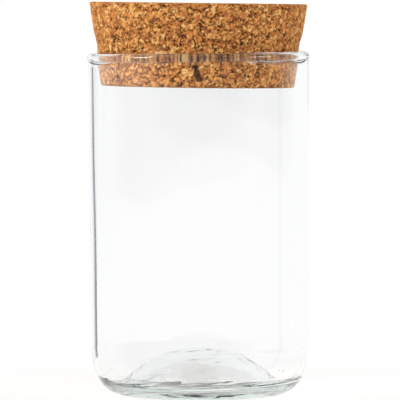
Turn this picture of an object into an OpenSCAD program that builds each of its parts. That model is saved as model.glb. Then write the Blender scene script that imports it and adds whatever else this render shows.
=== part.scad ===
// Storage jar of clear blown glass with a fire-polished rim and a kick-up base,
// closed by a tapered stopper of pressed cork granules.
// Origin on the resting plane, on the jar's axis. +Z points up.

/* [Jar] */
// Height of the jar from the resting plane to the top of the rim
jar_h = 155; // [120:1:220]
// Outside diameter of the wall just under the rim
jar_d = 99.8; // [84:0.2:130]
// How much smaller the wall's diameter is just above the heel
wall_taper = 1.2; // [0:0.1:2]
// Thickness of the wall just under the rim
wall_t_top = 3.1; // [2.4:0.1:4]
// Thickness of the wall just above the heel
wall_t_base = 2.6; // [2:0.1:4]

/* [Rim] */
// Thickness of the rounded bead round the mouth
bead_d = 4.5; // [4.2:0.1:6]
// How far the bead stands outside the wall
bead_proud = 0.5; // [0.1:0.05:0.6]

/* [Heel and base] */
// Radius of the upper part of the heel, where the wall starts to draw in
heel_upper_r = 34; // [26:1:40]
// Radius of the lower part of the heel, which runs into the resting ring
heel_lower_r = 12.5; // [9:0.5:15]
// Angle through which the upper part of the heel draws in, in degrees
heel_turn = 26; // [18:1:32]
// Radius of the rounded corner inside, between wall and floor
inner_heel_r = 7; // [6:0.5:11]
// Thickness of the glass under the lowest part of the floor
foot_t = 5.4; // [4:0.1:7]
// How far the middle of the floor rises above its lowest part
floor_rise = 15.6; // [8:0.1:18]
// Thickness of the glass in the middle of the floor
floor_t = 6; // [4:0.1:8]
// Width of the flat ring that the jar rests on
foot_w = 2; // [1:0.1:4]
// Radius of the rounded inner edge of the resting ring
foot_edge_r = 2; // [1:0.1:3]

/* [Stopper] */
// Height of the whole stopper
stopper_h = 37.6; // [26:0.1:50]
// How far the stopper stands above the rim
stopper_proud = 22.3; // [10:0.1:24]
// Slope of the stopper's side, in degrees from upright
stopper_slope = 8.3; // [4:0.1:12]
// Width of the worn bevel on the stopper's two edges
stopper_bevel = 0.6; // [0.2:0.1:1.5]
// Gap between the stopper's side and the bead when it is seated
seat_gap = 0.2; // [0.1:0.05:0.5]

/* [Hidden] */
glass_colour = [0.80, 0.87, 0.86, 0.35];
cork_colour = [0.79, 0.60, 0.41];
$fn = 180;
// Small length that lets a cut run past the face it opens
past = 1;

// Overlap that makes two arcs cross where they run smoothly into each other
blend = 0.01;

// Outside of the jar
top_r = jar_d / 2;
base_r = top_r - wall_taper / 2;
bead_r = bead_d / 2;
// Height of the middle of the bead, where the mouth is narrowest
seat_z = jar_h - bead_r;
bead_x = top_r + bead_proud - bead_r;
mouth_r = bead_x - bead_r;
// Centre of the heel's upper arc, level with the arc's top
upper_x = base_r - heel_upper_r;
upper_z = heel_lower_r + (heel_upper_r - heel_lower_r) * sin(heel_turn);
// The lower arc's centre is on the radius where the two arcs meet
lower_x = upper_x + (heel_upper_r - heel_lower_r) * cos(heel_turn) + blend;
join_z = heel_lower_r - heel_lower_r * sin(heel_turn);

// Inside of the jar, whose upper heel arc shares the outside one's centre
hollow_top_r = top_r - wall_t_top;
hollow_base_r = base_r - wall_t_base;
inner_upper_r = heel_upper_r - wall_t_base;
inner_z = foot_t + inner_heel_r;
inner_turn = asin((upper_z - inner_z) / (inner_upper_r - inner_heel_r));
inner_x = upper_x + (inner_upper_r - inner_heel_r) * cos(inner_turn) + blend;
inner_join_z = inner_z - inner_heel_r * sin(inner_turn);
// Radius of the domed floor, which runs smoothly into the rounded corner
dome_r = (pow(inner_x, 2) + pow(floor_rise, 2) - 2 * inner_heel_r * floor_rise)
    / (2 * floor_rise);
floor_top_z = foot_t + floor_rise;
dome_z = floor_top_z - dome_r;
// Height at which the dome and the rounded corner touch
dome_touch_z = dome_z + (inner_z - dome_z) * (dome_r + blend / 2) / (dome_r + inner_heel_r);

// Hollow under the base
punt_h = floor_top_z - floor_t;
foot_in_r = lower_x - foot_w;
// Radius of the hollow, which runs smoothly into the rounded edge of the resting ring
punt_r = (pow(foot_in_r, 2) + pow(punt_h, 2)) / (2 * punt_h) - foot_edge_r;
punt_z = punt_h - punt_r;
// Point where the hollow and the rounded edge touch
punt_share = (punt_r + blend / 2) / (punt_r + foot_edge_r);
punt_touch_x = foot_in_r * punt_share;
punt_touch_z = punt_z + (foot_edge_r - punt_z) * punt_share;

// Stopper
stopper_base_z = jar_h + stopper_proud - stopper_h;
stopper_top_z = jar_h + stopper_proud;
// Radius of the cone at the height of the bead, for the stated gap square to its side
stopper_seat_r = mouth_r + bead_r - (bead_r + seat_gap) / cos(stopper_slope);
function stopper_r(z) = stopper_seat_r + (z - seat_z) * tan(stopper_slope);

// Part of a disc centred on the axis that lies above a given height
module axis_disc(z, r, low_z) {
    intersection() {
        translate([0, z]) circle(r);
        translate([0, low_z]) square([r, z + r - low_z + past]);
    }
}

// Section between the axis and a heel of two arcs, from low_z to just above their top.
// The upper arc has radius r_upper and is centred at [upper_x, upper_z]. The lower one
// has radius r_lower, is centred above x and takes over where it has turned to join_z.
module heel_section(r_upper, x, r_lower, join_z, low_z) {
    intersection() {
        union() {
            translate([upper_x, upper_z]) circle(r_upper);
            translate([0, low_z - past]) square([upper_x, upper_z - low_z + 2 * past]);
        }
        union() {
            translate([0, join_z]) square([base_r + past, upper_z - join_z + past]);
            translate([0, low_z]) square([x, join_z - low_z]);
            intersection() {
                translate([x, low_z + r_lower]) circle(r_lower);
                translate([x, low_z]) square([r_lower + past, join_z - low_z]);
            }
        }
    }
}

// Section of the jar's outside, without the bead
module outside_section() {
    polygon([[0, upper_z], [base_r, upper_z], [top_r, seat_z], [0, seat_z]]);
    heel_section(heel_upper_r, lower_x, heel_lower_r, join_z, 0);
}

// Section of the space inside the jar, over its domed floor
module inside_section() {
    polygon([
        [0, upper_z],
        [hollow_base_r, upper_z],
        [hollow_top_r, seat_z],
        [hollow_top_r, jar_h + past],
        [0, jar_h + past]
    ]);
    difference() {
        heel_section(inner_upper_r, inner_x, inner_heel_r, inner_join_z, foot_t);
        // What lies under the dome and beside the rounded corner
        translate([0, foot_t - past]) square([inner_x, dome_touch_z - foot_t + past]);
        axis_disc(dome_z, dome_r + blend, dome_touch_z - past);
    }
    intersection() {
        translate([inner_x, inner_z]) circle(inner_heel_r);
        translate([inner_x - inner_heel_r, foot_t - past])
            square([inner_heel_r, dome_touch_z - foot_t + 2 * past]);
    }
}

// Section of the hollow under the base
module punt_section() {
    difference() {
        union() {
            axis_disc(punt_z, punt_r + blend, punt_touch_z);
            polygon([[0, -past], [foot_in_r, -past], [foot_in_r, 0],
                [punt_touch_x, punt_touch_z], [0, punt_touch_z]]);
        }
        translate([foot_in_r, foot_edge_r]) circle(foot_edge_r);
    }
}

module glass_jar() {
    color(glass_colour)
    rotate_extrude() {
        difference() {
            outside_section();
            inside_section();
            punt_section();
        }
        translate([bead_x, seat_z]) circle(bead_r);
    }
}

module cork_stopper() {
    low_side_z = stopper_base_z + stopper_bevel;
    high_side_z = stopper_top_z - stopper_bevel;
    color(cork_colour)
    rotate_extrude()
        polygon([
            [0, stopper_base_z],
            [stopper_r(stopper_base_z) - stopper_bevel, stopper_base_z],
            [stopper_r(low_side_z), low_side_z],
            [stopper_r(high_side_z), high_side_z],
            [stopper_r(stopper_top_z) - stopper_bevel, stopper_top_z],
            [0, stopper_top_z]
        ]);
}

glass_jar();
cork_stopper();
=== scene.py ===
"""Looks of a clear blown glass storage jar with a stopper of pressed cork granules.

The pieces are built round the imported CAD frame, in its own metres. Sizes inside the classes are
in millimetres, as on a workshop drawing, and turn to metres when a mesh is made. A pair of
numbers named a reach or a width says where a smooth step starts and where it ends.
"""

import itertools
import logging
import math
import random
from dataclasses import dataclass
from enum import Enum

import bpy
import numpy as np
from mathutils import Matrix, Vector, noise


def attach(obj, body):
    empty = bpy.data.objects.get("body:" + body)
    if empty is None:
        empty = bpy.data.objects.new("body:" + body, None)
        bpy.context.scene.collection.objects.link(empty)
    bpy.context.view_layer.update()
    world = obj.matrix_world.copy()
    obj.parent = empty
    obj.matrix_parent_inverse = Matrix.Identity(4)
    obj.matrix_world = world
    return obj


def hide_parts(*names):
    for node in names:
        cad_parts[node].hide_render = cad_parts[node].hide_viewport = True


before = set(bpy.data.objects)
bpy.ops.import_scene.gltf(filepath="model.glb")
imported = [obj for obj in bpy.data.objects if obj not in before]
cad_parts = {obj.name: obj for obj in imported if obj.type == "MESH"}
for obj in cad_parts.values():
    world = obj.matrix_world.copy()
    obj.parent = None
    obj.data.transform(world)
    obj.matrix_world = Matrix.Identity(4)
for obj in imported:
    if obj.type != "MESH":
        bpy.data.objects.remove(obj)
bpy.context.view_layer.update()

LOG = logging.getLogger("glass_jar")
MM = 0.001
IMAGE_PX = 400
WHITE = (1.0, 1.0, 1.0, 1.0)
BLACK = (0.0, 0.0, 0.0, 1.0)

Pair = tuple[float, float]
Place = tuple[float, float, float]
Faces = list[tuple[int, ...]]


class Body(Enum):
    """The moving bodies of the frame."""

    JAR = "jar"
    STOPPER = "stopper"


class Slot(Enum):
    """The record's material slots."""

    GLASS = "clear_glass"
    CORK = "pressed_cork"


def linear(code: str) -> tuple[float, ...]:
    """Turns an sRGB hex code into a linear colour.

    Args:
        code: Six hex digits.

    Returns:
        Linear red, green, blue and an alpha of 1.
    """
    shares = [int(code[i : i + 2], 16) / 255 for i in (0, 2, 4)]
    return (*(v / 12.92 if v <= 0.04045 else ((v + 0.055) / 1.055) ** 2.4 for v in shares), 1.0)


def smooth(value: float | np.ndarray, low: float, high: float) -> float | np.ndarray:
    """Gives a smooth step.

    Args:
        value: The number or numbers to grade.
        low: Where the step leaves 0.
        high: Where the step reaches 1.

    Returns:
        A share from 0 to 1 for each number.
    """
    t = np.clip((value - low) / (high - low), 0, 1)
    return t * t * (3 - 2 * t)


def add_node(
    tree: bpy.types.NodeTree,
    kind: str,
    inputs: dict[str | int, object] | None = None,
    **settings: object,
) -> bpy.types.Node:
    """Adds a node with its settings, values and links.

    Args:
        tree: The node tree that gets the node.
        kind: The node's type.
        inputs: Values or sockets for the node's inputs, by name or place.
        **settings: The node's own settings.

    Returns:
        The new node.
    """
    made = tree.nodes.new(kind)
    for name, value in settings.items():
        setattr(made, name, value)
    for name, value in (inputs or {}).items():
        if isinstance(value, bpy.types.NodeSocket):
            tree.links.new(value, made.inputs[name])
        else:
            made.inputs[name].default_value = value
    return made


def new_material(name: str) -> tuple[bpy.types.Material, bpy.types.NodeTree]:
    """Makes an empty node material.

    Args:
        name: The material's name.

    Returns:
        The material and its node tree.
    """
    material = bpy.data.materials.new(name)
    material.use_nodes = True
    material.node_tree.nodes.clear()
    return material, material.node_tree


def make_piece(
    name: str, points: list[Vector] | np.ndarray, faces: Faces, material: bpy.types.Material
) -> bpy.types.Object:
    """Makes a smooth mesh object from points in millimetres.

    Args:
        name: The object's name.
        points: Its vertices, in millimetres.
        faces: Its faces, counter-clockwise from outside.
        material: What it is made of.

    Returns:
        The object, linked to the scene.
    """
    mesh = bpy.data.meshes.new(name)
    mesh.from_pydata((np.array(points) * MM).tolist(), [], faces)
    mesh.polygons.foreach_set("use_smooth", [True] * len(mesh.polygons))
    mesh.materials.append(material)
    mesh.update()
    piece = bpy.data.objects.new(name, mesh)
    bpy.context.scene.collection.objects.link(piece)
    return piece


def arc(x: float, z: float, r: float, start: float, end: float, steps: int) -> list[Pair]:
    """Lays points along an arc.

    Args:
        x: Radius of the arc's centre about the axis.
        z: Height of the arc's centre.
        r: The arc's own radius.
        start: First angle, in degrees.
        end: Last angle, in degrees.
        steps: Number of steps.

    Returns:
        Points as radius and height, both ends included.
    """
    angles = [math.radians(start + (end - start) * i / steps) for i in range(steps + 1)]
    return [(x + r * math.cos(a), z + r * math.sin(a)) for a in angles]


def line(start: Pair, end: Pair, steps: int) -> list[Pair]:
    """Lays points along a straight stretch.

    Args:
        start: Radius and height of its first end, which is left out.
        end: Radius and height of its last end.
        steps: Number of steps.

    Returns:
        Points as radius and height.
    """
    shares = [i / steps for i in range(1, steps + 1)]
    return [
        (start[0] + (end[0] - start[0]) * s, start[1] + (end[1] - start[1]) * s) for s in shares
    ]


def turned_faces(rings: int, sectors: int) -> Faces:
    """Lists the faces of a turned surface that starts and ends in a point on the axis.

    Args:
        rings: Number of rings between the two end points.
        sectors: Number of points on a ring.

    Returns:
        Faces over the vertices: first point, rings in order, last point.
    """
    faces = []
    last = 1 + rings * sectors
    for k in range(sectors):
        after = (k + 1) % sectors
        faces.append((0, 1 + after, 1 + k))
        faces.append((last - sectors + k, last - sectors + after, last))
        for i in range(rings - 1):
            low, high = 1 + i * sectors, 1 + (i + 1) * sectors
            faces.append((low + k, low + after, high + after, high + k))
    return faces


@dataclass(frozen=True)
class BlownGlass:
    """Blown soda-lime glass, fire-polished: mirror-smooth, with slow ripples, grey-green inside.

    The ripples bend what is seen through the wall, and the colour shows only where it is thick.
    """

    name: str = "blown_soda_lime_glass"
    ior: float = 1.52
    core: str = "B8D2C9"
    density: float = 8.0
    ripple_mm: float = 9.0
    ripple_depth_mm: float = 0.004

    def material(self) -> bpy.types.Material:
        """Builds the glass from its numbers.

        Returns:
            The material.
        """
        material, tree = new_material(self.name)
        place = add_node(tree, "ShaderNodeTexCoord")
        ripple = add_node(
            tree,
            "ShaderNodeTexNoise",
            {"Vector": place.outputs["Object"], "Scale": 1 / (self.ripple_mm * MM), "Detail": 1.0},
        )
        bump = add_node(
            tree,
            "ShaderNodeBump",
            {
                "Height": ripple.outputs["Fac"],
                "Distance": self.ripple_depth_mm * MM,
                "Strength": 1.0,
            },
        )
        surface = add_node(
            tree,
            "ShaderNodeBsdfPrincipled",
            {
                "Base Color": WHITE,
                "Roughness": 0.0,
                "IOR": self.ior,
                "Transmission Weight": 1.0,
                "Normal": bump.outputs["Normal"],
            },
        )
        volume = add_node(
            tree,
            "ShaderNodeVolumeAbsorption",
            {"Color": linear(self.core), "Density": self.density},
        )
        add_node(
            tree,
            "ShaderNodeOutputMaterial",
            {"Surface": surface.outputs["BSDF"], "Volume": volume.outputs["Volume"]},
        )
        return material


@dataclass(frozen=True)
class PressedCork:
    """Pressed cork granules, cut and sanded: matt, each one its own tan, dark where one is gone.

    The mesh says where the granules, seams and pits are, so colour and relief always agree; it
    also says where shade is painted, in the gash and as the rim's shadow at the seat.
    """

    name: str = "sanded_pressed_cork"
    tans: tuple[str, ...] = ("7E4720", "B5763E", "CA864A", "DAA45C", "E6C08A")
    seam: str = "6E3D1C"
    pit: str = "2A140A"
    speck_mm: float = 0.7
    speck_tone: float = 0.5
    grit_mm: float = 0.15
    grit_strength: float = 0.6
    roughness: float = 0.9
    specular: float = 0.25

    def material(self) -> bpy.types.Material:
        """Builds the cork from its numbers.

        Returns:
            The material.
        """
        material, tree = new_material(self.name)
        tone, seam, pit = (
            add_node(tree, "ShaderNodeAttribute", attribute_name=name).outputs["Fac"]
            for name in ("granule", "seam", "pit")
        )
        place = add_node(tree, "ShaderNodeTexCoord")
        specks = add_node(
            tree,
            "ShaderNodeTexNoise",
            {"Vector": place.outputs["Object"], "Scale": 1 / (self.speck_mm * MM), "Detail": 3.0},
        )
        shifted = add_node(
            tree,
            "ShaderNodeMath",
            {0: specks.outputs["Fac"], 1: self.speck_tone, 2: tone},
            operation="MULTIPLY_ADD",
        )
        centred = add_node(
            tree,
            "ShaderNodeMath",
            {0: shifted.outputs["Value"], 1: self.speck_tone / 2},
            operation="SUBTRACT",
        )
        ramp = add_node(tree, "ShaderNodeValToRGB", {"Fac": centred.outputs["Value"]})
        stops = ramp.color_ramp.elements
        for i, tan in enumerate(self.tans):
            place_on_ramp = i / (len(self.tans) - 1)
            stop = stops[i] if i < 2 else stops.new(place_on_ramp)
            stop.position = place_on_ramp
            stop.color = linear(tan)
        seamed = add_node(
            tree,
            "ShaderNodeMix",
            {"Factor": seam, "A": ramp.outputs["Color"], "B": linear(self.seam)},
            data_type="RGBA",
        )
        # The pit share also holds painted shade: the gash's painted shade and the rim's painted
        # shadow at the seat
        pitted = add_node(
            tree,
            "ShaderNodeMix",
            {"Factor": pit, "A": seamed.outputs["Result"], "B": linear(self.pit)},
            data_type="RGBA",
        )
        bump = add_node(
            tree,
            "ShaderNodeBump",
            {
                "Height": specks.outputs["Fac"],
                "Distance": self.grit_mm * MM,
                "Strength": self.grit_strength,
            },
        )
        surface = add_node(
            tree,
            "ShaderNodeBsdfPrincipled",
            {
                "Base Color": pitted.outputs["Result"],
                "Roughness": self.roughness,
                "Specular IOR Level": self.specular,
                "Normal": bump.outputs["Normal"],
            },
        )
        add_node(tree, "ShaderNodeOutputMaterial", {"Surface": surface.outputs["BSDF"]})
        return material


@dataclass(frozen=True)
class Wave:
    """How far a blown surface waves in and out, and how long its waves are."""

    depth: float
    length: float


@dataclass(frozen=True)
class Ring:
    """One ring of the blown surface: its place, and how the glass waves there."""

    r: float
    z: float
    wave: Wave


@dataclass(frozen=True)
class Seeds:
    """Small bubbles caught in the glass: most in the heel, where more lie at the front's sides.

    Angles are in degrees round the axis, with the front at 270.
    """

    count: int = 90
    in_heel: int = 70
    all_round: int = 30
    radius: Pair = (0.16, 0.4)
    wall_share: float = 0.6
    front_left: Pair = (200.0, 250.0)
    front_right: Pair = (300.0, 355.0)
    heel_angle: Pair = (25.0, 70.0)
    heel_depth: Pair = (0.8, 2.5)
    wall_depth: float = 1.4
    below_rim: float = 15.0
    around: int = 10
    stacks: int = 6
    seed: int = 7

    def bubble(self, radius: float) -> list[Vector]:
        """Lays the points of one bubble round the origin.

        Args:
            radius: Its radius.

        Returns:
            Its lowest point, its rings from low to high, and its highest point.
        """
        found = [Vector((0, 0, -radius))]
        for j in range(1, self.stacks):
            low = math.pi * j / self.stacks
            for k in range(self.around):
                a = 2 * math.pi * k / self.around
                flat = math.sin(low)
                way = Vector((flat * math.cos(a), flat * math.sin(a), -math.cos(low)))
                found.append(way * radius)
        return [*found, Vector((0, 0, radius))]


@dataclass
class GlassJar:
    """The jar: one skin of glass with a wavy wall, two-arc heel, domed floor and seeds."""

    height: float = 155.0
    top_r: float = 49.9
    base_r: float = 49.3
    wall_top: float = 3.1
    wall_base: float = 2.6
    bead_r: float = 2.25
    bead_proud: float = 0.5
    bead_turn: Pair = (-40.0, 220.0)
    outside_below_bead: float = 1.5
    inside_below_bead: float = 1.8
    heel_upper_r: float = 34.0
    heel_lower_r: float = 12.5
    heel_turn: float = 26.0
    inner_heel_r: float = 7.0
    foot: float = 5.4
    floor_rise: float = 15.6
    floor: float = 6.0
    foot_width: float = 2.0
    foot_edge_r: float = 2.0
    # How the glass waves on each stretch, from under the base to the floor inside
    hollow_wave: Wave = Wave(0.12, 14.0)
    foot_wave: Wave = Wave(0.0, 14.0)
    lower_heel_wave: Wave = Wave(0.1, 16.0)
    upper_heel_wave: Wave = Wave(0.12, 26.0)
    outside_wave: Wave = Wave(0.04, 40.0)
    bead_wave: Wave = Wave(0.08, 18.0)
    inside_wave: Wave = Wave(0.05, 40.0)
    inner_heel_wave: Wave = Wave(0.16, 22.0)
    corner_wave: Wave = Wave(0.22, 14.0)
    dome_wave: Wave = Wave(0.25, 15.0)
    # Height over which the waves set in above the flat foot, and radius off the axis
    foot_reach: Pair = (0.5, 4.0)
    axis_reach: Pair = (0.0, 8.0)
    # Where in the noise the waves lie. The first goes by the side that the surface faces, so
    # that the outside and the inside don't wave together
    noise_place: Place = (9.0, 3.0, 5.0)
    lean: float = -0.0051
    rim_tilt: float = 0.011
    rim_reach: float = 30.0
    sectors: int = 360
    wall_steps: int = 70
    curve_steps: int = 40
    lower_heel_steps: int = 26
    upper_heel_steps: int = 24
    foot_steps: int = 8
    seeds: Seeds = Seeds()

    def heel_centres(self) -> tuple[float, float, float]:
        """Works out the centres of the two arcs of the heel.

        Returns:
            Radius and height of the upper arc's centre, and radius of the lower one's. The
            lower centre's height is its own arc's radius.
        """
        turn = math.radians(self.heel_turn)
        apart = self.heel_upper_r - self.heel_lower_r
        upper_x = self.base_r - self.heel_upper_r
        upper_z = self.heel_lower_r + apart * math.sin(turn)
        return upper_x, upper_z, upper_x + apart * math.cos(turn)

    def rings(self) -> list[Ring]:
        """Works out the section, from under the base over the wall and rim to the domed floor.

        Returns:
            The rings in order. The first and the last lie on the axis.
        """
        upper_x, upper_z, lower_x = self.heel_centres()
        inner_upper_r = self.heel_upper_r - self.wall_base
        inner_z = self.foot + self.inner_heel_r
        inner_turn = math.asin((upper_z - inner_z) / (inner_upper_r - self.inner_heel_r))
        inner_x = upper_x + (inner_upper_r - self.inner_heel_r) * math.cos(inner_turn)
        inner_deg = math.degrees(inner_turn)
        rise = self.floor_rise
        dome_r = (inner_x**2 + rise**2 - 2 * self.inner_heel_r * rise) / (2 * rise)
        dome_z = self.foot + rise - dome_r
        dome_edge = math.degrees(math.atan2(inner_z - dome_z, inner_x))
        hollow_h = self.foot + rise - self.floor
        hollow_x = lower_x - self.foot_width
        hollow_r = (hollow_x**2 + hollow_h**2) / (2 * hollow_h) - self.foot_edge_r
        hollow_z = hollow_h - hollow_r
        hollow_edge = math.degrees(math.atan2(self.foot_edge_r - hollow_z, hollow_x))
        bead_x = self.top_r + self.bead_proud - self.bead_r
        bead_z = self.height - self.bead_r
        outside_top = (self.top_r, bead_z - self.outside_below_bead)
        inside_top = (self.top_r - self.wall_top, bead_z - self.inside_below_bead)

        curve, heel = self.curve_steps, self.upper_heel_steps
        hollow = arc(0, hollow_z, hollow_r, 90, hollow_edge, curve)
        edge = arc(
            hollow_x, self.foot_edge_r, self.foot_edge_r, hollow_edge + 180, 270, self.foot_steps
        )
        lower_heel = arc(
            lower_x,
            self.heel_lower_r,
            self.heel_lower_r,
            270,
            360 - self.heel_turn,
            self.lower_heel_steps,
        )
        upper_heel = arc(upper_x, upper_z, self.heel_upper_r, 360 - self.heel_turn, 360, heel)
        outside = line((self.base_r, upper_z), outside_top, self.wall_steps)
        bead = arc(bead_x, bead_z, self.bead_r, *self.bead_turn, curve)
        inside = line(inside_top, (self.base_r - self.wall_base, upper_z), self.wall_steps)
        inner_heel = arc(upper_x, upper_z, inner_upper_r, 0, -inner_deg, heel)
        corner = arc(inner_x, inner_z, self.inner_heel_r, -inner_deg, -180 + dome_edge, curve)
        dome = arc(0, dome_z, dome_r, dome_edge, 90, curve)
        stretches = (
            (hollow, self.hollow_wave),
            (edge[1:], self.foot_wave),
            (lower_heel, self.lower_heel_wave),
            (upper_heel[1:], self.upper_heel_wave),
            (outside, self.outside_wave),
            (bead, self.bead_wave),
            ([inside_top, *inside], self.inside_wave),
            (inner_heel[1:], self.inner_heel_wave),
            (corner[1:], self.corner_wave),
            (dome[1:], self.dome_wave),
        )
        return [Ring(r, z, wave) for points, wave in stretches for r, z in points]

    def settle(self, p: Vector) -> Vector:
        """Leans the hand-made wall and tips the rim, with the base left flat.

        Args:
            p: A point of the true turned jar.

        Returns:
            The point on the jar as made.
        """
        tip = self.rim_tilt * smooth(p.z, self.height - self.rim_reach, self.height)
        return Vector((p.x + self.lean * p.z, p.y, p.z + tip * p.x))

    def skin(self) -> tuple[list[Vector], Faces]:
        """Turns the section into one closed skin with its waves.

        Returns:
            Vertices in millimetres, and faces.
        """
        rings = self.rings()
        side, across, along = self.noise_place
        points = [Vector((0, 0, rings[0].z))]
        for before, ring, after in zip(rings[:-2], rings[1:-1], rings[2:]):
            run = Vector((after.r - before.r, after.z - before.z)).normalized()
            share = smooth(ring.z, *self.foot_reach) * smooth(ring.r, *self.axis_reach)
            depth = ring.wave.depth * share
            place = Vector((run.y * side, across, along))
            for k in range(self.sectors):
                a = 2 * math.pi * k / self.sectors
                p = Vector((ring.r * math.cos(a), ring.r * math.sin(a), ring.z))
                off = depth * noise.noise(p / ring.wave.length + place)
                r = ring.r + run.y * off
                waved = Vector((r * math.cos(a), r * math.sin(a), ring.z - run.x * off))
                points.append(self.settle(waved))
        points.append(Vector((0, 0, rings[-1].z)))
        return points, turned_faces(len(rings) - 2, self.sectors)

    def add_seeds(self, points: list[Vector], faces: Faces) -> None:
        """Adds closed bubbles inside the wall and heel, their faces turned to the air.

        Args:
            points: Vertices of the jar, which grow.
            faces: Faces of the jar, which grow.
        """
        seeds = self.seeds
        draw = random.Random(seeds.seed)
        _, upper_z, lower_x = self.heel_centres()
        shell = turned_faces(seeds.stacks - 1, seeds.around)
        for i in range(seeds.count):
            radius = draw.uniform(*seeds.radius)
            if i < seeds.in_heel:
                sides = draw.uniform(*seeds.front_left), draw.uniform(*seeds.front_right)
                angle = math.radians(draw.choice(sides))
                angle = draw.uniform(0, 2 * math.pi) if i < seeds.all_round else angle
                down = math.radians(draw.uniform(*seeds.heel_angle))
                mid = self.heel_lower_r - draw.uniform(*seeds.heel_depth)
                r, z = lower_x + mid * math.cos(down), self.heel_lower_r - mid * math.sin(down)
            else:
                angle = draw.uniform(0, 2 * math.pi)
                radius *= seeds.wall_share
                z = draw.uniform(upper_z, self.height - seeds.below_rim)
                r = self.base_r - seeds.wall_depth + (self.top_r - self.base_r) * z / self.height
            centre = Vector((r * math.cos(angle), r * math.sin(angle), z))
            start = len(points)
            points += [self.settle(centre + p) for p in seeds.bubble(radius)]
            faces += [tuple(start + v for v in reversed(face)) for face in shell]

    def build(self, finish: BlownGlass) -> bpy.types.Object:
        """Builds the jar, dresses it and puts it on its body.

        Args:
            finish: The glass it is blown from.

        Returns:
            The piece.
        """
        points, faces = self.skin()
        self.add_seeds(points, faces)
        piece = make_piece("jar_glass", points, faces, finish.material())
        # Lamps shine through clear glass, where a shadow ray would stop at it
        piece.visible_shadow = False
        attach(piece, Body.JAR.value)
        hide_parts("glass_jar")
        return piece


@dataclass(frozen=True)
class Waves:
    """A smooth random field: how long its waves are, and where in it the points lie."""

    length: float
    place: float

    def at(self, points: np.ndarray) -> np.ndarray:
        """Samples the field.

        Args:
            points: Points in millimetres, one in a row.

        Returns:
            A number from about -1 to 1 for each point.
        """
        return np.array([noise.noise(p) for p in (points / self.length + self.place).tolist()])


@dataclass(frozen=True)
class GranuleHeap:
    """Granules scattered one to a cell, each point belonging to the nearest one."""

    size: float
    seed: int = 11
    span: int = 80

    def sample(self, points: np.ndarray) -> tuple[np.ndarray, np.ndarray, np.ndarray]:
        """Finds the granules at some points.

        Args:
            points: Points in millimetres, one in a row.

        Returns:
            Distances to the three nearest granules in sizes, and the nearest one's tone and luck.
        """
        # Five draws a cell: three for its granule's place, one for its tone, one for its luck
        draws = np.random.default_rng(self.seed).random((self.span, self.span, self.span, 5))
        places = points / self.size
        base = np.floor(places).astype(np.int64)
        near = np.full((3, len(points)), np.inf)
        tone, luck = np.zeros(len(points)), np.zeros(len(points))
        for step in itertools.product((-1, 0, 1), repeat=3):
            cells = base + np.array(step)
            drawn = draws[tuple((cells % self.span).T)]
            away = np.linalg.norm(places - cells - drawn[:, :3], axis=1)
            closer = away < near[0]
            tone = np.where(closer, drawn[:, 3], tone)
            luck = np.where(closer, drawn[:, 4], luck)
            near = np.sort(np.vstack([near, away]), axis=0)[:3]
        return near, tone, luck


@dataclass(frozen=True)
class CutGranules:
    """What a cut through the pressed granules shows: their tones, seams, pits and relief.

    Widths between granules are in granule sizes, other lengths in millimetres.
    """

    coarse: GranuleHeap = GranuleHeap(2.4)
    fine: GranuleHeap = GranuleHeap(1.3)
    bends: tuple[Waves, ...] = (Waves(1.7, 11.0), Waves(1.7, 23.0), Waves(1.7, 37.0))
    bend_depth: float = 0.45
    patches: Waves = Waves(4.5, 5.0)
    patch_level: float = -0.02
    grain: Waves = Waves(0.9, 2.0)
    seam_width: Pair = (0.0, 0.18)
    seam_breaks: Waves = Waves(1.7, 8.0)
    seam_reach: Pair = (-0.4, 0.3)
    corner_width: Pair = (0.05, 0.28)
    corner_breaks: Waves = Waves(3.0, 6.0)
    corner_reach: Pair = (-0.15, 0.1)
    lost_luck: float = 0.94
    lost_width: Pair = (0.15, 0.42)
    specks: Waves = Waves(0.8, 7.0)
    speck_reach: Pair = (0.3, 0.5)
    speck_depth: float = 0.75
    tone_middle: float = 0.48
    tone_spread: float = 0.78
    tone_grain: float = 0.34
    raised_tone: float = 0.16
    sunk_seam: float = 0.14
    sunk_pit: float = 0.75
    raised_grain: float = 0.07

    def sample(
        self, points: np.ndarray
    ) -> tuple[np.ndarray, np.ndarray, np.ndarray, np.ndarray]:
        """Works out the pressed granules at some points.

        Args:
            points: Points in millimetres, one in a row.

        Returns:
            Each granule's tone, how far a point is in a seam, how far in a pit, and the relief in
            millimetres, outwards.
        """
        bent = points + self.bend_depth * np.stack([bend.at(points) for bend in self.bends], 1)
        coarse, fine = self.coarse.sample(bent), self.fine.sample(bent)
        patch = self.patches.at(points) > self.patch_level
        near, tone, luck = (np.where(patch, a, b) for a, b in zip(coarse, fine))
        grain = self.grain.at(points)
        seam = 1 - smooth(near[1] - near[0], *self.seam_width)
        seam *= smooth(self.seam_breaks.at(points), *self.seam_reach)
        corner = 1 - smooth(near[2] - near[0], *self.corner_width)
        corner *= smooth(self.corner_breaks.at(points), *self.corner_reach)
        lost = np.where(luck > self.lost_luck, 1 - smooth(near[0], *self.lost_width), 0.0)
        speck = smooth(self.specks.at(points), *self.speck_reach)
        pit = np.maximum.reduce([corner, lost, self.speck_depth * speck])
        tone = self.tone_middle + self.tone_spread * (tone - 0.5) + self.tone_grain * grain
        tone = np.clip(tone, 0, 1)
        relief = self.raised_tone * (tone - 0.5) - self.sunk_seam * seam
        relief = relief - self.sunk_pit * pit + self.raised_grain * grain
        return tone, seam, pit, relief


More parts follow.
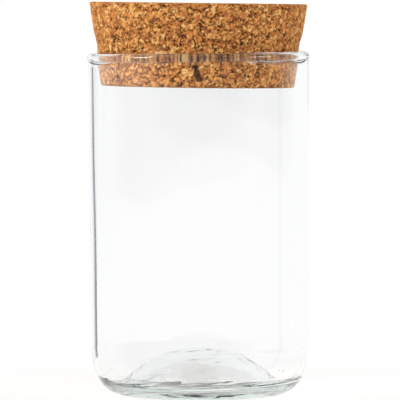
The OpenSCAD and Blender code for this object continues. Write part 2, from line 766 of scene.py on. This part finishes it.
@dataclass(frozen=True)
class Gash:
    """The gash in the stopper's side, at the front, which leans to the left as it goes up."""

    x: float = 0.9
    z: float = 142.4
    lean: float = 0.26
    wander: Waves = Waves(1.6, 3.0)
    wander_depth: float = 0.9
    half_width: Pair = (0.7, 1.9)
    foot_reach: Pair = (141.6, 143.0)
    head_reach: Pair = (149.0, 151.0)
    depth: float = 1.6
    shade: float = 0.85

    def sample(self, points: np.ndarray) -> np.ndarray:
        """Finds how deep some points are in the gash.

        Args:
            points: Points in millimetres, one in a row.

        Returns:
            A share from 0 to 1 for each point.
        """
        x, y, z = points.T
        off = x - self.x + self.lean * (z - self.z) + self.wander_depth * self.wander.at(points)
        across = 1 - smooth(np.abs(off), *self.half_width)
        along = smooth(z, *self.foot_reach) * (1 - smooth(z, *self.head_reach))
        return np.where(y < 0, across * along, 0.0)


@dataclass
class CorkStopper:
    """The stopper: a sanded cone of granules with a worn waist, a gash, and a painted shadow of
    the jar's rim round its seat.
    """

    base_z: float = 139.7
    top_z: float = 177.3
    base_r: float = 43.83
    slope: float = 8.3
    bevel: float = 0.9
    # Angle at which the bevel's arc meets the side, in whole degrees
    bevel_turn: float = 8.0
    lower_bevel_steps: int = 4
    upper_bevel_steps: int = 5
    waist_z: float = 158.0
    waist_spread: float = 5.0
    waist_depth: float = 0.75
    sectors: int = 720
    side_steps: int = 96
    disc_steps: int = 56
    tilt: float = 0.012
    shift: float = -0.98
    seat_z: float = 152.75
    # How dark the painted shadow of the jar's rim on the seat is, how high it spreads, and how
    # much darker it is on the right
    seat_shadow_depth: float = 0.5
    seat_shadow_spread: float = 1.9
    seat_shadow_right: float = 0.2
    granules: CutGranules = CutGranules()
    gash: Gash = Gash()

    def rings(self) -> list[Pair]:
        """Works out the section, from the underside's middle over the side to the top's middle.

        Returns:
            Points as radius and height.
        """
        grow = math.tan(math.radians(self.slope))
        low, high = self.base_z + self.bevel, self.top_z - self.bevel
        under = self.base_r - self.bevel
        rim = self.base_r + (self.top_z - self.base_z) * grow - self.bevel
        found = [(i * under / self.disc_steps, self.base_z) for i in range(self.disc_steps)]
        found += arc(under, low, self.bevel, 270, 360 - self.bevel_turn, self.lower_bevel_steps)
        for i in range(1, self.side_steps):
            z = low + (high - low) * i / self.side_steps
            waist = self.waist_depth * math.exp(-(((z - self.waist_z) / self.waist_spread) ** 2))
            found.append((self.base_r + (z - self.base_z) * grow - waist, z))
        found += arc(rim, high, self.bevel, -self.bevel_turn, 90, self.upper_bevel_steps)
        inwards = [1 - i / self.disc_steps for i in range(1, self.disc_steps + 1)]
        return found + [(rim * share, self.top_z) for share in inwards]

    def bare_surface(self, rings: list[Pair]) -> tuple[np.ndarray, np.ndarray]:
        """Turns the section into points and the directions straight out of the surface.

        Args:
            rings: The section.

        Returns:
            Points in millimetres and unit directions, one in a row.
        """
        up = np.array((0.0, 0.0, 1.0))
        turn = np.arange(self.sectors) * 2 * math.pi / self.sectors
        last = len(rings) - 1
        points, outs = [], []
        for i, (r, z) in enumerate(rings):
            before, after = rings[max(0, i - 1)], rings[min(last, i + 1)]
            run = Vector((after[0] - before[0], after[1] - before[1])).normalized()
            angles = turn[:1] if i in (0, last) else turn
            flat = np.stack([np.cos(angles), np.sin(angles), 0 * angles], 1)
            points.append(flat * r + up * z)
            outs.append(flat * run.y - up * run.x)
        return np.concatenate(points), np.concatenate(outs)

    def painted_seat_shadow(self, points: np.ndarray) -> np.ndarray:
        """Finds how dark the painted shadow of the jar's rim is on the side, round the seat.

        Args:
            points: Points in millimetres, one in a row.

        Returns:
            A share from 0 to 1 for each point.
        """
        x, _, z = points.T
        band = self.seat_shadow_depth * np.exp(-(((z - self.seat_z) / self.seat_shadow_spread) ** 2))
        return band * (1 - self.seat_shadow_right + self.seat_shadow_right * x / self.base_r)

    def build(self, finish: PressedCork) -> bpy.types.Object:
        """Builds the stopper, dresses it and puts it on its body.

        Args:
            finish: The cork it is pressed from.

        Returns:
            The piece.
        """
        rings = self.rings()
        points, outs = self.bare_surface(rings)
        tone, seam, pit, relief = self.granules.sample(points)
        cut = self.gash.sample(points)
        carved = points + outs * (relief - self.gash.depth * cut)[:, None]
        seat = np.array((0.0, 0.0, self.seat_z))
        turn = np.array(Matrix.Rotation(self.tilt, 3, "Y"))
        placed = (carved - seat) @ turn.T + seat + np.array((self.shift, 0, 0))
        faces = turned_faces(len(rings) - 2, self.sectors)
        piece = make_piece("stopper_cork", placed, faces, finish.material())
        # The pit attribute also takes painted shade: the gash's painted shade and the rim's
        # painted shadow at the seat, drawn in the pit colour
        dark = np.maximum.reduce([pit, self.gash.shade * cut, self.painted_seat_shadow(points)])
        for name, values in {"granule": tone, "seam": seam, "pit": dark}.items():
            field = piece.data.attributes.new(name, "FLOAT", "POINT")
            field.data.foreach_set("value", values.astype(np.float32))
        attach(piece, Body.STOPPER.value)
        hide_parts("cork_stopper")
        return piece


@dataclass(frozen=True)
class Lamp:
    """A soft square lamp, its place in metres. The glass may mirror it as a highlight."""

    name: str
    place: Place
    watts: float
    tone: str
    mirrored: bool


@dataclass(frozen=True)
class Card:
    """A card behind the jar's left wall, for the edge of the wall to bend the view to.

    The bearings are those of its near and far side in degrees to the left, seen from the left
    wall, with 0 straight back, at its lower and at its upper edge.
    """

    name: str
    lower: Pair
    upper: Pair
    tone: str


@dataclass
class Studio:
    """A white paper sweep, soft lamps, cards that only the glass shows, and the camera."""

    # Share of full white at which the surroundings light the object
    ambient: float = 0.5
    paper: str = "F4F4F4"
    floor_half: float = 1.2
    # Share of the paper that glows near the jar, and how far out it reaches all of it, in metres
    floor_share: float = 0.75
    shadow_reach: Pair = (0.055, 0.2)
    # Brightness of the paper under the base, and how far out it is back to full, in metres
    under_level: float = 0.25
    under_reach: Pair = (0.027, 0.037)
    # Direction of the dark that the glass mirrors, how squarely a ray points there, the slope
    # above which it starts, and the brightness left in it
    dark_way: Place = (0.45, -0.89, 0.0)
    dark_reach: Pair = (-0.1, 0.5)
    dark_above: Pair = (-0.033, -0.028)
    front_level: float = 0.12
    # Left edge of the wall, and how far back, how low and how high the cards hang
    wall_x: float = 49.0
    card_back: float = 66.0
    card_low: float = 1.0
    card_high: float = 148.0
    cards: tuple[Card, ...] = (
        Card("flag_wall_pale", (21, 27), (16, 22), "ECEEF5"),
        Card("flag_wall_grey", (27, 32), (22, 27), "CFD2DF"),
        Card("flag_wall_dark", (32, 41), (27, 34), "343849"),
    )
    lamp_size: float = 0.9
    lamp_aim: Place = (0.0, 0.0, 0.09)
    lamps: tuple[Lamp, ...] = (
        Lamp("key_left", (-1.7, -0.8, 1.2), 34.0, "FFF6EA", True),
        Lamp("fill_right", (1.7, -0.7, 0.7), 13.0, "FFF0E6", True),
        Lamp("fill_front", (-0.3, -2.0, 0.9), 6.0, "FFFAF4", False),
    )
    camera_distance: float = 1.9
    camera_height: float = 0.1773
    camera_pitch: float = 2.69
    focal_px: float = 4192.0
    sensor: float = 36.0
    clip_end: float = 50.0
    # Enough bounces for a ray to pass the walls and the thick base several times
    glass_bounces: int = 24
    gloss_bounces: int = 12

    def seen(self, tree: bpy.types.NodeTree) -> bpy.types.NodeSocket:
        """Gives 1 where a ray shows the background: straight, in a gloss or through glass.

        Args:
            tree: The node tree that asks.

        Returns:
            The socket with the answer.
        """
        path = add_node(tree, "ShaderNodeLightPath")
        gloss = add_node(
            tree,
            "ShaderNodeMath",
            {0: path.outputs["Is Camera Ray"], 1: path.outputs["Is Glossy Ray"]},
            operation="MAXIMUM",
        )
        both = add_node(
            tree,
            "ShaderNodeMath",
            {0: gloss.outputs["Value"], 1: path.outputs["Is Transmission Ray"]},
            operation="MAXIMUM",
        )
        return both.outputs["Value"]

    def mirrored_dark(self, tree: bpy.types.NodeTree) -> bpy.types.NodeSocket:
        """Gives how much of the white is lost where a mirrored ray leaves towards the dark.

        Args:
            tree: The world's node tree.

        Returns:
            The socket with the share lost.
        """
        path = add_node(tree, "ShaderNodeLightPath")
        direction = add_node(tree, "ShaderNodeTexCoord").outputs["Generated"]
        axes = add_node(tree, "ShaderNodeSeparateXYZ", {0: direction})
        facing = add_node(
            tree,
            "ShaderNodeVectorMath",
            {0: direction, 1: self.dark_way},
            operation="DOT_PRODUCT",
        )
        above = add_node(
            tree,
            "ShaderNodeMapRange",
            {
                "Value": axes.outputs["Z"],
                "From Min": self.dark_above[0],
                "From Max": self.dark_above[1],
            },
        )
        front = add_node(
            tree,
            "ShaderNodeMapRange",
            {
                "Value": facing.outputs["Value"],
                "From Min": self.dark_reach[0],
                "From Max": self.dark_reach[1],
                "To Min": 0.0,
                "To Max": 1.0 - self.front_level,
            },
        )
        high_front = add_node(
            tree,
            "ShaderNodeMath",
            {0: above.outputs["Result"], 1: front.outputs["Result"]},
            operation="MULTIPLY",
        )
        mirrored = add_node(
            tree, "ShaderNodeMath", {0: path.outputs["Glossy Depth"], 1: 1.0}, operation="MINIMUM"
        )
        lost = add_node(
            tree,
            "ShaderNodeMath",
            {0: mirrored.outputs["Value"], 1: high_front.outputs["Value"]},
            operation="MULTIPLY",
        )
        return lost.outputs["Value"]

    def world(self) -> None:
        """Makes the white surroundings, which light the object at the ambient level only.

        What the glass mirrors is dark towards the front, as a studio is behind its camera.
        """
        world = bpy.data.worlds.new("white_sweep")
        bpy.context.scene.world = world
        world.use_nodes = True
        tree = world.node_tree
        tree.nodes.clear()
        white = add_node(
            tree,
            "ShaderNodeMapRange",
            {"Value": self.seen(tree), "To Min": self.ambient, "To Max": 1.0},
        )
        kept = add_node(
            tree, "ShaderNodeMath", {0: 1.0, 1: self.mirrored_dark(tree)}, operation="SUBTRACT"
        )
        level = add_node(
            tree,
            "ShaderNodeMath",
            {0: white.outputs["Result"], 1: kept.outputs["Value"]},
            operation="MULTIPLY",
        )
        back = add_node(
            tree, "ShaderNodeBackground", {"Color": WHITE, "Strength": level.outputs["Value"]}
        )
        add_node(tree, "ShaderNodeOutputWorld", {"Surface": back.outputs["Background"]})

    def floor(self) -> None:
        """Makes the white floor, which keeps a part of the object's shadow."""
        material, tree = new_material("white_paper_sweep")
        place = add_node(tree, "ShaderNodeTexCoord")
        reach = add_node(
            tree, "ShaderNodeVectorMath", {0: place.outputs["Object"]}, operation="LENGTH"
        )
        # Light isn't traced through the thick base, so the paper is given its shade there
        shade = add_node(
            tree,
            "ShaderNodeMapRange",
            {
                "Value": reach.outputs["Value"],
                "From Min": self.under_reach[0],
                "From Max": self.under_reach[1],
                "To Min": self.under_level,
                "To Max": 1.0,
            },
        )
        paper = add_node(
            tree,
            "ShaderNodeMix",
            {"Factor": shade.outputs["Result"], "A": BLACK, "B": linear(self.paper)},
            data_type="RGBA",
        )
        matt = add_node(tree, "ShaderNodeBsdfDiffuse", {"Color": paper.outputs["Result"]})
        glow = add_node(
            tree, "ShaderNodeEmission", {"Color": WHITE, "Strength": shade.outputs["Result"]}
        )
        fade = add_node(
            tree,
            "ShaderNodeMapRange",
            {
                "Value": reach.outputs["Value"],
                "From Min": self.shadow_reach[0],
                "From Max": self.shadow_reach[1],
                "To Min": self.floor_share,
                "To Max": 1.0,
            },
        )
        share = add_node(
            tree,
            "ShaderNodeMath",
            {0: fade.outputs["Result"], 1: self.seen(tree)},
            operation="MULTIPLY",
        )
        both = add_node(
            tree,
            "ShaderNodeMixShader",
            {0: share.outputs["Value"], 1: matt.outputs["BSDF"], 2: glow.outputs["Emission"]},
        )
        add_node(tree, "ShaderNodeOutputMaterial", {"Surface": both.outputs["Shader"]})
        half = self.floor_half / MM
        sides = ((-half, -half), (half, -half), (half, half), (-half, half))
        corners = [Vector((x, y, 0)) for x, y in sides]
        make_piece("floor", corners, [(0, 1, 2, 3)], material)

    def hang(self, card: Card) -> None:
        """Hangs a card that shows only through the glass.

        Args:
            card: The card.
        """
        material, tree = new_material(card.name)
        glow = add_node(tree, "ShaderNodeEmission", {"Color": linear(card.tone), "Strength": 1.0})
        add_node(tree, "ShaderNodeOutputMaterial", {"Surface": glow.outputs["Emission"]})
        corners = [
            Vector((-self.wall_x - math.tan(math.radians(a)) * self.card_back, self.card_back, z))
            for bearings, z in ((card.lower, self.card_low), (card.upper, self.card_high))
            for a in bearings
        ]
        piece = make_piece(card.name, corners, [(0, 1, 3, 2)], material)
        piece.visible_camera = False
        piece.visible_diffuse = False
        piece.visible_shadow = False
        piece.visible_glossy = False

    def light(self, lamp: Lamp) -> None:
        """Sets up a lamp, pointed at the middle of the object.

        Args:
            lamp: The lamp.
        """
        data = bpy.data.lights.new(lamp.name, "AREA")
        data.energy = lamp.watts
        data.size = self.lamp_size
        data.color = linear(lamp.tone)[:3]
        way = Vector(self.lamp_aim) - Vector(lamp.place)
        light = bpy.data.objects.new(lamp.name, data)
        light.location = lamp.place
        light.rotation_euler = way.to_track_quat("-Z", "Y").to_euler()
        light.visible_glossy = lamp.mirrored
        light.visible_transmission = False
        bpy.context.scene.collection.objects.link(light)

    def camera(self) -> None:
        """Stands the camera at the photograph's angle, level with the top of the stopper."""
        data = bpy.data.cameras.new("camera")
        data.sensor_width = self.sensor
        data.lens = self.sensor * self.focal_px / IMAGE_PX
        data.clip_end = self.clip_end
        camera = bpy.data.objects.new("camera", data)
        camera.location = (0, -self.camera_distance, self.camera_height)
        camera.rotation_euler = (math.radians(90 - self.camera_pitch), 0, 0)
        bpy.context.scene.collection.objects.link(camera)
        bpy.context.scene.camera = camera

    def build(self) -> None:
        """Sets up everything round the object."""
        self.world()
        self.floor()
        for card in self.cards:
            self.hang(card)
        for lamp in self.lamps:
            self.light(lamp)
        self.camera()
        scene = bpy.context.scene
        scene.view_settings.view_transform = "Standard"
        scene.cycles.max_bounces = self.glass_bounces
        scene.cycles.transmission_bounces = self.glass_bounces
        scene.cycles.glossy_bounces = self.gloss_bounces


def main() -> None:
    """Builds the studio, then the pieces in order, and reports each piece."""
    logging.basicConfig(level=logging.INFO, format="%(message)s")
    Studio().build()
    for part, finish in ((GlassJar(), BlownGlass()), (CorkStopper(), PressedCork())):
        piece = part.build(finish)
        LOG.info("%s: %d faces", piece.name, len(piece.data.polygons))


if __name__ == "__main__":
    main()
